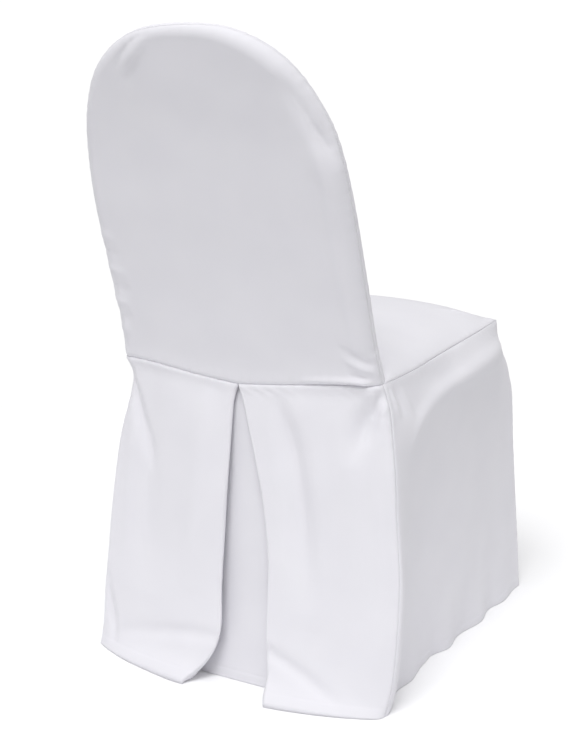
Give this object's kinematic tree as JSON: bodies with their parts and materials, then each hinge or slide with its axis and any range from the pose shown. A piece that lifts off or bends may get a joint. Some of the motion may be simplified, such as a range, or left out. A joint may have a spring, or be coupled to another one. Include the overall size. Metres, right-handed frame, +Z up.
{
  "type": "chair cover",
  "caption": "Fitted white cloth cover for a round-backed banquet chair: leaning back, crowned seat, flared floor-length skirts and an open inverted pleat at the rear.",
  "frame": {"origin": "floor level, under the middle of the cover's box", "axes": "+Z up, -Y towards the chair's front, +X towards the sitter's left"},
  "size_m": [0.5212, 0.6728, 0.9281],
  "materials": {
    "white_polyester": "matte"
  },
  "bodies": {
    "root": {"back_rear_panel": "white_polyester", "back_front_panel": "white_polyester", "seat_panel": "white_polyester", "rear_skirt": "white_polyester", "right_side_skirt": "white_polyester", "left_side_skirt": "white_polyester", "front_skirt": "white_polyester"}
  },
  "joints": []
}
